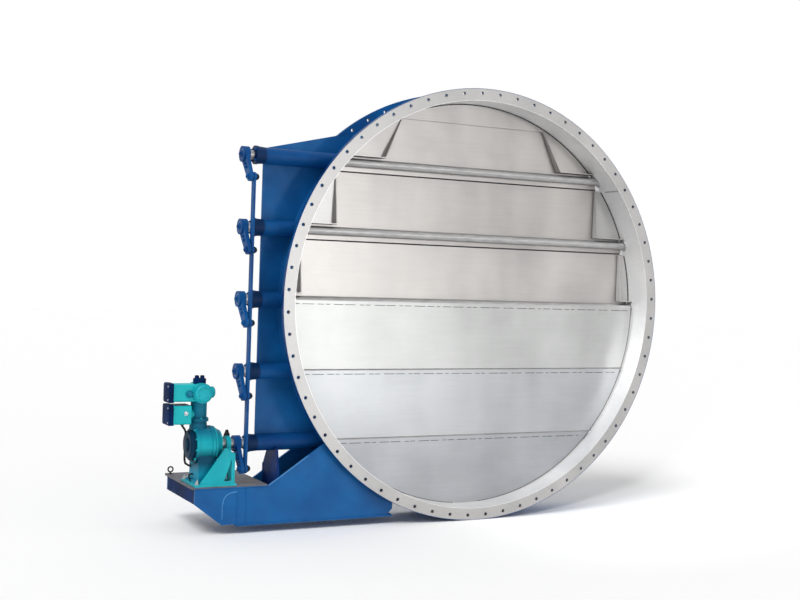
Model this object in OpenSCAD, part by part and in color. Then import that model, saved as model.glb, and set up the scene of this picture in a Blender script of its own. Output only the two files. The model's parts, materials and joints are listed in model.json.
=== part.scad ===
// Motorized multi-blade butterfly valve, millimetres, +Z up.
// Origin: centre of the front flange face. +Y runs down the duct, away from the viewer.
// The actuator stands on the -X side. Places named _x, _left and _right are distances from the duct axis.

/* [Duct] */
// Outer diameter of both flanges, set together with bolt_circle and bore_d
flange_od = 3030; // [2600:10:3400]
// Diameter of the flange hole circle, set together with flange_od
bolt_circle = 2960; // [2500:10:3300]
// Number of flange holes
bolt_count = 64; // [32:4:80]
// Diameter of a flange hole
bolt_hole_d = 24; // [18:1:42]
// Flange plate thickness
flange_t = 30; // [16:1:50]
// Clear bore of the duct
bore_d = 2860; // [2400:10:3200]
// Duct wall thickness
shell_t = 12; // [6:1:25]
// Face to face length
body_len = 420; // [380:5:700]

/* [Blades] */
// Distance between neighbouring shafts
shaft_pitch = 473; // [440:1:480]
// Shaft diameter
shaft_d = 60; // [50:1:80]
// Blade plate thickness
blade_t = 12; // [6:1:20]
// How deep a shaft sits in a blade plate
blade_seat = 3; // [1:0.5:5]
// Lip of an upper blade below its shaft
blade_lip = 58; // [45:1:70]
// Lip of a lower blade above its shaft
lower_lip = 4; // [2:1:20]
// Gap between a blade tip and the next lip
blade_gap = 10; // [6:1:20]
// Gap between a blade end and the duct wall, closed and open
blade_side_gap = 8; // [6:1:20]

/* [Stop plates] */
// Stop plate thickness
stop_t = 10; // [6:1:14]
// Gap between a stop plate and the blade behind it
stop_gap = 6; // [5:0.5:10]
// Gap between a stop plate and the shaft below it
stop_shaft_gap = 16; // [8:1:30]
// Gap between a stop plate and the sweep of the lip above it
stop_lip_gap = 6; // [5:1:20]
// Depth of the fold along a stop plate's foot
stop_fold = 50; // [20:1:54]
// Depth of the fold at the plate's top
fold_lip = 8; // [4:1:15]
// Thickness of the folds
fold_t = 6; // [3:1:10]
// Half width of the first opening at the first shaft
open_half_top = 745; // [700:5:800]
// Half width of the first opening at its top
open_half_crown = 585; // [450:5:600]
// Height of the first opening above the first shaft
open_rise = 336; // [250:2:340]
// Half width of the second opening
open_half_mid = 1075; // [1000:5:1090]
// Half width of the third opening
open_half_low = 1318; // [1250:2:1330]

/* [Bearings] */
// Bearing tube diameter
tube_d = 108; // [100:1:130]
// Clear bore of a bearing tube
tube_bore = 76; // [70:1:90]
// Gland diameter at the outer end of a tube
gland_d = 124; // [115:1:150]
// Gland length
gland_len = 76; // [40:1:100]
// Gland flange thickness
gland_flange_t = 18; // [8:1:30]
// Step from the gland flange to the gland neck
gland_step = 3; // [1:0.5:3]
// Outer face of the glands
gland_x = 1668; // [1620:1:1680]
// Radial running clearance of a shaft
run_fit = 0.06; // [0.02:0.01:0.1]
// Clearance of a welded or bolted seat
seat_fit = 0.05; // [0:0.01:0.1]
// Diameter of a far side bearing boss
boss_d = 120; // [100:1:160]
// How far a boss stands out of the duct
boss_out = 60; // [40:1:100]
// End wall of a boss
boss_end_t = 12; // [6:1:20]
// Gap between a shaft end and the wall it points at
shaft_end_gap = 6; // [2:1:12]

/* [Wing plate] */
// Outer edge of the wing plate
wing_x = 1585; // [1560:1:1600]
// Height of its outer top corner
wing_top = 1000; // [990:1:1040]
// Height of its top edge at the duct
wing_top_in = 1125; // [1050:1:1160]
// Length of the sloping top edge along X
wing_run = 525; // [480:1:560]
// Wing plate thickness
wing_t = 12; // [6:1:20]
// How deep a tube sits in the wing plate
wing_seat = 4; // [1:0.5:6]

/* [Linkage] */
// Crank length, shaft to pin
crank_len = 190; // [170:1:210]
// Crank angle from straight down, towards the front
crank_angle = 37; // [30:1:45]
// Crank plate thickness
crank_t = 24; // [12:1:30]
// Diameter of the crank plate round the shaft
crank_d = 94; // [84:1:110]
// Outer face of the crank plates
crank_x = 1745; // [1742:1:1760]
// Crank hub diameter
hub_d = 104; // [90:1:120]
// Crank hub length
hub_len = 46; // [40:1:60]
// Crank eye diameter at the pin
eye_d = 62; // [56:1:80]
// Crank pin diameter
pin_d = 26; // [20:1:32]
// Crank pin head diameter
pin_head_d = 42; // [36:1:50]
// Crank pin head thickness
pin_head_t = 8; // [5:1:12]
// Gap between the tie rod and a pin head
pin_head_gap = 2; // [1:0.5:4]
// Tie rod thickness
rod_t = 14; // [10:1:16]
// Tie rod width
rod_w = 46; // [40:1:54]
// Diameter of a tie rod eye
rod_eye_d = 60; // [56:1:72]
// Radial clearance of the open rod eyes
rod_open = 1; // [0.5:0.1:2]
// Gap between the tie rod and the cranks
rod_gap = 6; // [5:0.5:8]

/* [Base] */
// Depth of the underside below the duct axis
base_bottom = 1465; // [1455:1:1515]
// Depth of the top plate below the duct axis
base_top = 1200; // [1190:1:1230]
// Plate thickness of the base
base_t = 14; // [8:1:20]
// Depth position of the front plate
base_front = 66; // [50:1:120]
// Depth position of the back edge
base_back = 666; // [560:1:700]
// Left end of the deep box
base_left = 1866; // [1850:1:1900]
// Distance of the floor and end plate inside that end
end_inset = 100; // [0:1:140]
// Left end of the shallow tray
base_left_back = 2050; // [1980:1:2060]
// Depth of the tray under the top plate
tray_h = 96; // [60:1:130]
// Left edge of the top plate
top_left = 2067; // [2060:1:2100]
// Right edge of the top plate
top_right = 1560; // [1540:1:1600]
// Right end of the base
base_right = 640; // [600:5:800]
// Corner cut at the right end
base_chamfer = 40; // [20:1:60]
// Slope of the front plate up to the duct
front_slope = 34; // [30:1:36]
// Length of that slope
slope_len = 566; // [560:1:600]
// Gap between the floor plate and the rear flange
floor_gap = 10; // [6:1:40]
// Left face of the cross rib
rib_x = 1480; // [1420:1:1500]
// Width of the rib post under the lowest tube
rib_post = 150; // [100:1:170]
// Height of the rib's rear corner above the side plates' level edge
rib_rise = 110; // [80:1:140]

/* [Actuator] */
// Bed plate thickness
bed_t = 14; // [8:1:20]
// Left edge of the bed plate
bed_left = 2050; // [2040:1:2060]
// Right edge of the bed plate
bed_right = 1772; // [1765:1:1776]
// Bed plate depth
bed_depth = 288; // [220:1:300]
// Drum diameter
drum_d = 230; // [220:1:240]
// Left end of the drum
drum_left = 2030; // [1995:1:2040]
// Right end of the drum
drum_right = 1854; // [1826:1:1864]
// Rim of a drum flange past the drum
drum_rim = 7; // [4:1:9]
// Drum flange thickness
drum_flange_t = 16; // [8:1:20]
// Length of the taper at the drum's right end
drum_taper = 40; // [20:1:42]
// Diameter of the drum's right end
drum_end_d = 178; // [150:1:200]
// How far the shaft enters the drum
drum_entry = 22; // [15:1:40]
// End cap diameter
cap_d = 204; // [180:1:215]
// End cap length
cap_len = 36; // [20:1:50]
// Diameter of the end cap's outer face
cap_face_d = 164; // [140:1:178]
// Foot width along the drum
foot_w = 120; // [100:1:140]
// Foot depth
foot_depth = 190; // [170:1:210]
// Foot flange thickness
foot_flange_t = 16; // [10:1:24]
// Foot flange past the foot
foot_past = 14; // [6:1:15]
// Neck diameter
neck_d = 104; // [96:1:116]
// Neck flare diameter at the drum
collar_d = 134; // [124:1:150]
// Neck flange diameter
neck_flange_d = 130; // [120:1:140]
// Neck flange thickness
neck_flange_t = 18; // [10:1:26]
// Height of the neck flange's top above the drum axis
neck_flange_rise = 172; // [165:1:180]
// Place of the neck
neck_x = 1994; // [1945:1:2000]
// Height of the motor head above the drum axis
head_rise = 338; // [330:1:360]
// Motor head diameter
head_d = 128; // [120:1:136]
// Motor head depth
head_depth = 170; // [140:1:200]
// Side stub diameter
stub_d = 74; // [50:1:90]
// How far the side stub stands out of the head
stub_out = 28; // [10:1:40]
// Top cap diameter
top_cap_d = 80; // [60:1:100]
// How far the top cap stands out of the head
top_cap_out = 20; // [10:1:40]
// Round cover diameter
cover_d = 112; // [90:1:118]
// Round cover thickness
cover_t = 26; // [10:1:40]
// Chamfer of the round cover
cover_edge = 10; // [2:1:10]
// Left end of the terminal boxes
box_left = 2204; // [2160:1:2220]
// Length of a terminal box cover
lid_len = 30; // [15:1:40]
// Rim of a terminal box cover past its box
lid_rim = 5; // [2:1:6]
// Corner radius of a terminal box
box_round = 14; // [6:1:20]
// Upper box height
ubox_h = 112; // [100:1:118]
// Upper box depth
ubox_depth = 122; // [100:1:130]
// Lower box height
lbox_h = 120; // [100:1:126]
// Lower box depth
lbox_depth = 140; // [120:1:150]
// Lower box length
lbox_len = 140; // [110:1:150]
// Diameter of the connector between lower box and neck
link_d = 70; // [50:1:90]
// Height of the lower box above the drum axis
lbox_rise = 198; // [190:1:204]
// Bearing stand thickness
stand_t = 28; // [20:1:30]
// Left face of the bearing stand
stand_x = 1812; // [1804:1:1820]
// Bearing stand boss diameter
stand_boss = 112; // [100:1:124]
// Half width of the stand at its foot
stand_half = 104; // [90:1:112]
// Width of the stand at its boss
stand_top_w = 94; // [80:1:100]
// Stand leg width
stand_leg = 34; // [24:1:44]
// Height of the stand's foot strip
stand_foot_h = 16; // [10:1:24]
// Top of the opening in the stand, below the drum axis
arch_drop = 76; // [72:1:90]
// Gusset plate thickness
gusset_t = 14; // [8:1:16]
// Gap between gusset and drum flange
gusset_gap = 2; // [1:0.5:5]
// Length of the gusset along the bed
gusset_len = 205; // [150:1:230]
// Length of the gusset's top
gusset_top = 38; // [20:1:60]
// Top of the gusset below the drum axis
gusset_drop = 10; // [0:1:40]
// Width of the gusset's leg beside the stand
gusset_leg = 22; // [16:1:30]
// Width of the window between that leg and the gusset's web
window_w = 50; // [20:1:50]
// Top of the window below the drum axis
window_drop = 80; // [80:1:120]

/* [Hidden] */
$fn = 48;
big_fn = 160;
hole_fn = 16;
e = 1;
ys = body_len / 2;
r_bore = bore_d / 2;
r_shell = r_bore + shell_t;
r_shaft = shaft_d / 2;
zs = [2 * shaft_pitch, shaft_pitch, 0, -shaft_pitch, -2 * shaft_pitch];
blade_near = r_shaft - blade_seat;
blade_far = blade_near + blade_t;
upper_tip = shaft_pitch - blade_lip - blade_gap;
lower_tip = shaft_pitch - lower_lip - blade_gap;
end_tip = r_bore - zs[0];
r_blade = r_bore - blade_side_gap;
stop_near = blade_near - stop_gap - stop_t;
stop_low = r_shaft + stop_shaft_gap;
stop_front = ys + stop_near;
fold_front = stop_front - stop_fold;
lip_sweep = sqrt(blade_lip * blade_lip + blade_far * blade_far) + stop_lip_gap;
wing_y = ys + tube_d / 2 - wing_seat;
shaft_end = crank_x + (hub_len - crank_t) / 2;
shaft5_end = drum_right + drum_entry;
rod_x = crank_x - crank_t - rod_gap;
rod_in = rod_x - rod_t;
pin_end = rod_in - pin_head_gap - pin_head_t;
pin_y = ys - crank_len * sin(crank_angle);
pin_dz = -crank_len * cos(crank_angle);
z_drum = zs[4];
z_head = z_drum + head_rise;
z_lbox = z_drum + lbox_rise;
bed_top = bed_t - base_top;
plate_high = -base_top - base_t;
plate_low = base_t - base_bottom;
tray_low = plate_high - tray_h;
floor_back = body_len - flange_t - floor_gap;
rear_front = floor_back - base_t;
saddle_edge = [
  [-base_right - base_chamfer, plate_low], [-base_right, plate_low + base_chamfer],
  [-base_right, e - wall_chord(base_right)],
  [-top_right + slope_len * cos(front_slope), plate_high + slope_len * sin(front_slope)],
  [-top_right, plate_high]];
stand_in = stand_x - stand_t;
gusset_y = ys - drum_d / 2 - drum_rim - gusset_gap - gusset_t;

// Half chord of the bore, and of the outside of the duct wall, at distance h from the axis
function bore_chord(h) = sqrt(r_bore * r_bore - h * h);
function wall_chord(h) = sqrt(r_shell * r_shell - h * h);
// Where a round piece of diameter d at height z has passed the whole wall
function past_wall(z, d) = bore_chord(abs(z) + d / 2);
// Outer end of the bearing boss at height z
function boss_end(z) = wall_chord(max(0, abs(z) - boss_d / 2)) + boss_out;

// A round bar along X from x0 to x1
module bar_x(x0, x1, d, y, z) {
  translate([x0, y, z]) rotate([0, 90, 0]) cylinder(d = d, h = x1 - x0);
}

// A taper along X from diameter d0 at x0 to d1 at x1
module taper_x(x0, x1, d0, d1, y, z) {
  translate([x0, y, z]) rotate([0, 90, 0]) cylinder(d1 = d0, d2 = d1, h = x1 - x0);
}

// A round bar along Y from y0 to y1
module bar_y(y0, y1, d, x, z, fn = 48) {
  translate([x, y0, z]) rotate([-90, 0, 0]) cylinder(d = d, h = y1 - y0, $fn = fn);
}

// A flat plate drawn in X and Z, from depth y0 to y1
module plate_xz(y0, y1, pts) {
  translate([0, y1, 0]) rotate([90, 0, 0]) linear_extrude(y1 - y0) polygon(pts);
}

// A flat plate drawn in Y and Z, from x0 to x1
module plate_yz(x0, x1, pts) {
  translate([x0, 0, 0]) rotate([90, 0, 90]) linear_extrude(x1 - x0) polygon(pts);
}

// A rectangle with round corners, centred
module round_rect(w, h, r) {
  square([w - 2 * r, h], center = true);
  square([w, h - 2 * r], center = true);
  for (sx = [-1, 1], sy = [-1, 1]) translate([sx * (w / 2 - r), sy * (h / 2 - r)]) circle(r);
}

// The duct with its wall as one cylinder, for what is welded against it
module duct_cut() {
  bar_y(-e, body_len + e, 2 * (r_shell + seat_fit), 0, 0, big_fn);
}

// Duct
module flange(y0) {
  difference() {
    bar_y(y0, y0 + flange_t, flange_od, 0, 0, big_fn);
    bar_y(y0 - e, y0 + flange_t + e, bore_d, 0, 0, big_fn);
    for (i = [0:bolt_count - 1]) {
      a = (i + 0.5) * 360 / bolt_count;
      r = bolt_circle / 2;
      bar_y(y0 - e, y0 + flange_t + e, bolt_hole_d, r * cos(a), r * sin(a), hole_fn);
    }
  }
}

module front_flange() { color("silver") flange(0); }

module rear_flange() { color("royalblue") flange(body_len - flange_t); }

module duct_shell() {
  color("lightsteelblue") difference() {
    union() {
      bar_y(flange_t, body_len - flange_t, 2 * r_shell, 0, 0, big_fn);
      for (z = zs) bar_x(past_wall(z, boss_d), boss_end(z), boss_d, ys, z);
    }
    bar_y(flange_t - e, body_len - flange_t + e, bore_d, 0, 0, big_fn);
    for (z = zs) {
      bar_x(past_wall(z, boss_d) - e, boss_end(z) - boss_end_t, shaft_d + 2 * run_fit, ys, z);
      bar_x(-r_shell - e, -past_wall(z, tube_d), tube_bore, ys, z);
    }
  }
}

// Fixed plates in front of the upper blades
module stop_sheet(z0, z1) {
  intersection() {
    translate([-r_bore, ys + stop_near, z0]) cube([bore_d, stop_t, z1 - z0]);
    bar_y(0, body_len, bore_d - 2 * seat_fit, 0, 0, big_fn);
  }
}

// Folds that stand forward of a stop plate: a ledge along its foot at z0, from x0 to the wall,
// and a wedge along its inner edge, which runs up to x1 at z1
module stop_folds(x0, x1, z0, z1, side) {
  intersection() {
    union() {
      translate([side > 0 ? x0 : -r_bore, fold_front, z0]) cube([r_bore - x0, stop_fold + e, fold_t]);
      intersection() {
        plate_xz(fold_front, stop_front + e, [
          [side * x0, z0], [side * (x0 + fold_t), z0], [side * (x1 + fold_t), z1], [side * x1, z1]]);
        plate_yz(-r_bore, r_bore, [
          [stop_front + e, z0], [fold_front, z0], [stop_front - fold_lip, z1], [stop_front + e, z1]]);
      }
    }
    bar_y(0, body_len, bore_d - 2 * seat_fit, 0, 0, big_fn);
  }
}

module upper_stop_crown() {
  z0 = zs[0] + stop_low;
  z_top = zs[0] + open_rise;
  foot_half = open_half_top + (open_half_crown - open_half_top) * stop_low / open_rise;
  color("silver") union() {
    difference() {
      stop_sheet(z0, r_bore);
      plate_xz(ys, stop_front + stop_t + e, [
        [-open_half_top, zs[0]], [open_half_top, zs[0]],
        [open_half_crown, z_top], [-open_half_crown, z_top]]);
    }
    for (side = [-1, 1]) stop_folds(foot_half, open_half_crown, z0, z_top, side);
  }
}

module side_stop(i, half, side) {
  z0 = zs[i] + stop_low;
  z1 = zs[i - 1] - lip_sweep;
  color("silver") union() {
    intersection() {
      stop_sheet(z0, z1);
      translate([side > 0 ? half : -r_bore - e, 0, zs[i]]) cube([r_bore + e - half, body_len, shaft_pitch]);
    }
    stop_folds(half, half, z0, z1, side);
  }
}

module upper_stop_left_2() { side_stop(1, open_half_mid, -1); }
module upper_stop_right_2() { side_stop(1, open_half_mid, 1); }
module upper_stop_left_3() { side_stop(2, open_half_low, -1); }
module upper_stop_right_3() { side_stop(2, open_half_low, 1); }

// Bearing side
module wing_plate() {
  inner = e - wall_chord(wing_top_in);
  color("royalblue") difference() {
    plate_xz(wing_y, wing_y + wing_t, [
      [-wing_x, zs[4]], [inner, zs[4]], [inner, wing_top_in],
      [-wing_x + wing_run, wing_top_in], [-wing_x, wing_top]]);
    duct_cut();
    for (z = zs) bar_x(-wing_x - e, inner, tube_d + 2 * seat_fit, ys, z);
  }
}

module bearing_tube(i) {
  z = zs[i];
  inner = -past_wall(z, tube_d);
  color("royalblue") difference() {
    union() {
      bar_x(-gland_x + e, inner, tube_d, ys, z);
      taper_x(-gland_x + gland_flange_t, -gland_x + gland_len, gland_d - 2 * gland_step, tube_d, ys, z);
      bar_x(-gland_x, -gland_x + gland_flange_t, gland_d, ys, z);
    }
    duct_cut();
    bar_x(-gland_x + gland_len, inner + e, tube_bore, ys, z);
    bar_x(-gland_x - e, inner + e, shaft_d + 2 * run_fit, ys, z);
  }
}

module bearing_tube_1() { bearing_tube(0); }
module bearing_tube_2() { bearing_tube(1); }
module bearing_tube_3() { bearing_tube(2); }
module bearing_tube_4() { bearing_tube(3); }
module bearing_tube_5() { bearing_tube(4); }

// Base: a deep box under the duct side and a shallow tray under the actuator
module base_floor() {
  color("royalblue") translate([end_inset - base_left, base_front, -base_bottom])
    cube([base_left - end_inset - base_right, floor_back - base_front, base_t]);
}

module base_front_plate() {
  color("royalblue") difference() {
    plate_xz(base_front, base_front + base_t, concat(
      [[-base_left, plate_low]], saddle_edge,
      [[-base_left_back, plate_high], [-base_left_back, tray_low]]));
    duct_cut();
  }
}

module base_rear_plate() {
  left = end_inset - base_left + base_t;
  color("royalblue") difference() {
    plate_xz(rear_front, floor_back, concat([[left, plate_low]], saddle_edge, [[left, plate_high]]));
    duct_cut();
  }
}

module base_end_plate() {
  color("royalblue") translate([end_inset - base_left, base_front + base_t, plate_low])
    cube([base_t, floor_back - base_front - base_t, plate_high - plate_low]);
}

module base_side_plate() {
  color("midnightblue") translate([-base_left_back, base_front + base_t, tray_low])
    cube([base_t, base_back - base_front - 2 * base_t, tray_h]);
}

module base_back_plate() {
  color("royalblue") translate([-base_left_back, base_back - base_t, tray_low])
    cube([base_left_back - top_right, base_t, tray_h]);
}

module base_cross_rib() {
  y0 = base_front + base_t;
  post_top = z_drum - tube_d / 4;
  color("midnightblue") difference() {
    plate_yz(-rib_x, -rib_x + base_t, [
      [y0, plate_low], [rear_front, plate_low], [rear_front, plate_high + rib_rise],
      [ys + rib_post / 2, post_top], [ys - rib_post / 2, post_top], [y0, plate_high]]);
    bar_x(-rib_x - e, -rib_x + base_t + e, tube_d + 2 * seat_fit, ys, z_drum);
  }
}

module base_top_plate() {
  color("dimgray") translate([-top_left, base_front, plate_high])
    cube([top_left - top_right, base_back - base_front, base_t]);
}

// Actuator
module actuator_bed() {
  color("teal") translate([-bed_left, ys - bed_depth / 2, -base_top])
    cube([bed_left - bed_right, bed_depth, bed_t]);
}

// The outside of the gear drum, grown by a clearance for what seats on it
module drum_form(fit) {
  rim_d = drum_d + 2 * (drum_rim + fit);
  middle = collar_d / 2 - neck_x;
  bar_x(-drum_left - fit, -drum_left + drum_flange_t + fit, rim_d, ys, z_drum);
  bar_x(-drum_left, -drum_right - drum_taper, drum_d + 2 * fit, ys, z_drum);
  bar_x(middle - fit, middle + drum_flange_t + fit, rim_d, ys, z_drum);
  taper_x(-drum_right - drum_taper, -drum_right, drum_d + 2 * fit, drum_end_d + 2 * fit, ys, z_drum);
}

module gearbox_drum() {
  color("teal") difference() {
    drum_form(0);
    bar_x(-shaft5_end - shaft_end_gap, -drum_right + e, shaft_d + 2 * run_fit, ys, z_drum);
  }
}

module gearbox_foot() {
  x0 = -drum_left + drum_flange_t;
  color("teal") difference() {
    union() {
      translate([x0, ys - foot_depth / 2, bed_top])
        cube([foot_w, foot_depth, z_drum - drum_d / 4 - bed_top]);
      translate([x0 - foot_past, ys - foot_depth / 2 - foot_past, bed_top])
        cube([foot_w + 2 * foot_past, foot_depth + 2 * foot_past, foot_flange_t]);
    }
    drum_form(seat_fit);
  }
}

// The end cap, grown by a clearance for what passes over it
module cap_form(fit) {
  x1 = -drum_left - cap_len / 2;
  bar_x(x1, -drum_left, cap_d + 2 * fit, ys, z_drum);
  taper_x(-drum_left - cap_len, x1, cap_face_d + 2 * fit, cap_d + 2 * fit, ys, z_drum);
}

module drum_end_cap() { color("midnightblue") cap_form(0); }

// The neck from the drum axis up, grown by a clearance for what seats on it
module neck_form(fit) {
  translate([-neck_x, ys, z_drum]) {
    cylinder(d = neck_d + 2 * fit, h = head_rise);
    cylinder(d1 = collar_d + 2 * fit, d2 = neck_d + 2 * fit, h = neck_flange_rise);
    translate([0, 0, neck_flange_rise - neck_flange_t - fit])
      cylinder(d = neck_flange_d + 2 * fit, h = neck_flange_t + 2 * fit);
  }
}

// The motor head with its stub and cap, grown by a clearance for what seats on it
module head_form(fit) {
  half = head_depth / 2 + fit;
  bar_y(ys - half, ys + half, head_d + 2 * fit, -neck_x, z_head);
  bar_x(-neck_x, -neck_x + head_d / 2 + stub_out + fit, stub_d + 2 * fit, ys, z_head);
  translate([-neck_x, ys, z_head]) cylinder(d = top_cap_d + 2 * fit, h = head_d / 2 + top_cap_out + fit);
}

module gearbox_neck() {
  color("teal") difference() {
    neck_form(0);
    drum_form(seat_fit);
    cap_form(seat_fit);
    head_form(seat_fit);
    translate([-neck_x - collar_d, 0, z_drum - e]) cube([2 * collar_d, body_len, drum_d / 4]);
  }
}

module motor_head() { color("teal") head_form(0); }

module round_cover() {
  y1 = ys - head_depth / 2;
  color("teal") {
    bar_y(y1 - cover_t + cover_edge, y1, cover_d, -neck_x, z_head);
    translate([-neck_x, y1 - cover_t, z_head]) rotate([-90, 0, 0])
      cylinder(d1 = cover_d - 2 * cover_edge, d2 = cover_d, h = cover_edge);
  }
}

// A box from x0 to x1 with a wider cover on its left end
module terminal_box(x0, x1, depth, h, z) {
  translate([x0, ys, z]) rotate([90, 0, 90]) {
    linear_extrude(x1 - x0) round_rect(depth, h, box_round);
    linear_extrude(lid_len) round_rect(depth + 2 * lid_rim, h + 2 * lid_rim, box_round + lid_rim);
  }
}

module upper_terminal_box() {
  color("teal") difference() {
    terminal_box(-box_left, -neck_x, ubox_depth, ubox_h, z_head);
    head_form(seat_fit);
    neck_form(seat_fit);
  }
}

module lower_terminal_box() {
  color("teal") difference() {
    union() {
      terminal_box(-box_left, lbox_len - box_left, lbox_depth, lbox_h, z_lbox);
      bar_x(lbox_len - box_left - e, -neck_x, link_d, ys, z_lbox);
    }
    neck_form(seat_fit);
  }
}

module bearing_stand() {
  half_top = stand_top_w / 2;
  arch = z_drum - arch_drop;
  inner = stand_half - stand_leg;
  strip_top = bed_top + stand_foot_h;
  color("teal") difference() {
    union() {
      plate_yz(-stand_x, -stand_in, [
        [ys - stand_half, bed_top], [ys + stand_half, bed_top],
        [ys + half_top, z_drum], [ys - half_top, z_drum]]);
      bar_x(-stand_x, -stand_in, stand_boss, ys, z_drum);
      translate([-stand_x, gusset_y, bed_top]) cube([stand_t, ys + stand_half - gusset_y, stand_foot_h]);
      plate_xz(gusset_y, gusset_y + gusset_t, [
        [-stand_in, bed_top], [-stand_x - gusset_len, bed_top],
        [-stand_x - gusset_top, z_drum - gusset_drop], [-stand_in, z_drum - gusset_drop - gusset_top]]);
    }
    plate_xz(gusset_y - e, gusset_y + gusset_t + e, [
      [-stand_in - gusset_leg, strip_top], [-stand_in - gusset_leg, z_drum - window_drop],
      [-stand_in - gusset_leg - window_w, strip_top]]);
    plate_yz(-stand_x - e, -stand_in + e, [
      [ys - inner, strip_top], [ys + inner, strip_top],
      [ys + stand_leg / 2, arch], [ys - stand_leg / 2, arch]]);
    bar_x(-stand_x - e, -stand_in + e, shaft_d + 2 * run_fit, ys, z_drum);
  }
}

// Moving pieces
module shaft(i) {
  left = i == 4 ? shaft5_end : shaft_end;
  color("lightgray") bar_x(-left, boss_end(zs[i]) - boss_end_t - shaft_end_gap, shaft_d, ys, zs[i]);
}

module shaft_1() { shaft(0); }
module shaft_2() { shaft(1); }
module shaft_3() { shaft(2); }
module shaft_4() { shaft(3); }
module shaft_5() { shaft(4); }

// A plate from depth y0, between heights z0 and z1, with the groove of shaft i.
// Its ends follow the bore when it is closed and clear the wall when it lies open.
module blade_sheet(i, y0, z0, z1) {
  half = bore_chord(abs(zs[i]) - blade_near) - blade_side_gap;
  color("silver") difference() {
    intersection() {
      translate([-half, y0, z0]) cube([2 * half, blade_t, z1 - z0]);
      bar_y(0, body_len, 2 * r_blade, 0, 0, big_fn);
    }
    bar_x(-r_bore - e, r_bore + e, shaft_d + 2 * seat_fit, ys, zs[i]);
  }
}

// An upper blade stands behind its shaft, a lower one hangs in front of it
module upper_blade(i, tip) { blade_sheet(i, ys + blade_near, zs[i] - blade_lip, zs[i] + tip); }
module lower_blade(i, tip) { blade_sheet(i, ys - blade_far, zs[i] - tip, zs[i] + lower_lip); }

module blade_1() { upper_blade(0, end_tip); }
module blade_2() { upper_blade(1, upper_tip); }
module blade_3_upper() { upper_blade(2, upper_tip); }
module blade_3_lower() { lower_blade(2, lower_tip); }
module blade_4() { lower_blade(3, lower_tip); }
module blade_5() { lower_blade(4, end_tip); }

module crank(i) {
  z1 = zs[i] + pin_dz;
  color("midnightblue") difference() {
    union() {
      hull() {
        bar_x(-crank_x, -crank_x + crank_t, crank_d, ys, zs[i]);
        bar_x(-crank_x, -crank_x + crank_t, eye_d, pin_y, z1);
      }
      bar_x(-shaft_end, -shaft_end + hub_len, hub_d, ys, zs[i]);
      bar_x(-crank_x, -pin_end, pin_d, pin_y, z1);
      bar_x(-pin_end - pin_head_t, -pin_end, pin_head_d, pin_y, z1);
    }
    bar_x(-shaft_end - e, -shaft_end + hub_len + e, shaft_d + 2 * seat_fit, ys, zs[i]);
  }
}

module crank_1() { crank(0); }
module crank_2() { crank(1); }
module crank_3() { crank(2); }
module crank_4() { crank(3); }
module crank_5() { crank(4); }

module tie_rod() {
  color("royalblue") difference() {
    union() {
      translate([-rod_x, pin_y - rod_w / 2, zs[4] + pin_dz]) cube([rod_t, rod_w, 4 * shaft_pitch]);
      for (z = zs) bar_x(-rod_x, -rod_in, rod_eye_d, pin_y, z + pin_dz);
    }
    for (i = [0:4])
      bar_x(-rod_x - e, -rod_in + e, pin_d + 2 * (i == 4 ? run_fit : rod_open), pin_y, zs[i] + pin_dz);
  }
}

front_flange();
duct_shell();
rear_flange();
upper_stop_crown();
upper_stop_left_2();
upper_stop_right_2();
upper_stop_left_3();
upper_stop_right_3();
wing_plate();
bearing_tube_1();
bearing_tube_2();
bearing_tube_3();
bearing_tube_4();
bearing_tube_5();
base_floor();
base_front_plate();
base_rear_plate();
base_end_plate();
base_side_plate();
base_back_plate();
base_cross_rib();
base_top_plate();
actuator_bed();
gearbox_foot();
gearbox_drum();
drum_end_cap();
gearbox_neck();
motor_head();
round_cover();
upper_terminal_box();
lower_terminal_box();
bearing_stand();
shaft_1();
shaft_2();
shaft_3();
shaft_4();
shaft_5();
blade_1();
blade_2();
blade_3_upper();
blade_3_lower();
blade_4();
blade_5();
crank_1();
crank_2();
crank_3();
crank_4();
crank_5();
tie_rod();
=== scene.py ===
"""Looks of a motorized multi-blade butterfly valve, in metres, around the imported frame."""
import json
import math

import bmesh
import bpy
from mathutils import Matrix, Vector


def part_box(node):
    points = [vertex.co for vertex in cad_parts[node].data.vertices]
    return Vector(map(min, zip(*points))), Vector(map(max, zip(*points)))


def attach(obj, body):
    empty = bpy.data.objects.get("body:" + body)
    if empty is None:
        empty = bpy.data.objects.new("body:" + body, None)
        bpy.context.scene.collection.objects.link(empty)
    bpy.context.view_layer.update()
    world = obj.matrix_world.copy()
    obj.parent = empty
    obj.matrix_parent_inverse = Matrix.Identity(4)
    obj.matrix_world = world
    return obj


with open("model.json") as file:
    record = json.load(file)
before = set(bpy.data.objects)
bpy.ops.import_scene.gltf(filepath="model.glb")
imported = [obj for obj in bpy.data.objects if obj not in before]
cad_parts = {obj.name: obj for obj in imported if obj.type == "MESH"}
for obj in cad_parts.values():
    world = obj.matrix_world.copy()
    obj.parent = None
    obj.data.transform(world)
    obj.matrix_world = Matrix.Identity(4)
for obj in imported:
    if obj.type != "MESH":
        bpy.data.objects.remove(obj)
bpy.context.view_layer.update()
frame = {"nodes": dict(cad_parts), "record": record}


def low(node):
    """Low corner of a CAD node's box."""
    return Vector(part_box(node)[0])


def high(node):
    """High corner of a CAD node's box."""
    return Vector(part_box(node)[1])


def middle(node):
    """Centre of a CAD node's box."""
    return (low(node) + high(node)) / 2


# Bodies, shafts from top to bottom and sides of the duct
BODY = "valve_body"
ROD_BODY = "tie_rod_body"
SHAFTS = range(1, 6)
DRIVEN_SHAFT = 5
SIDES = (-1, 1)

# Directions
X_AXIS = Vector((1, 0, 0))
Y_AXIS = Vector((0, 1, 0))
Z_AXIS = Vector((0, 0, 1))

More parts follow.
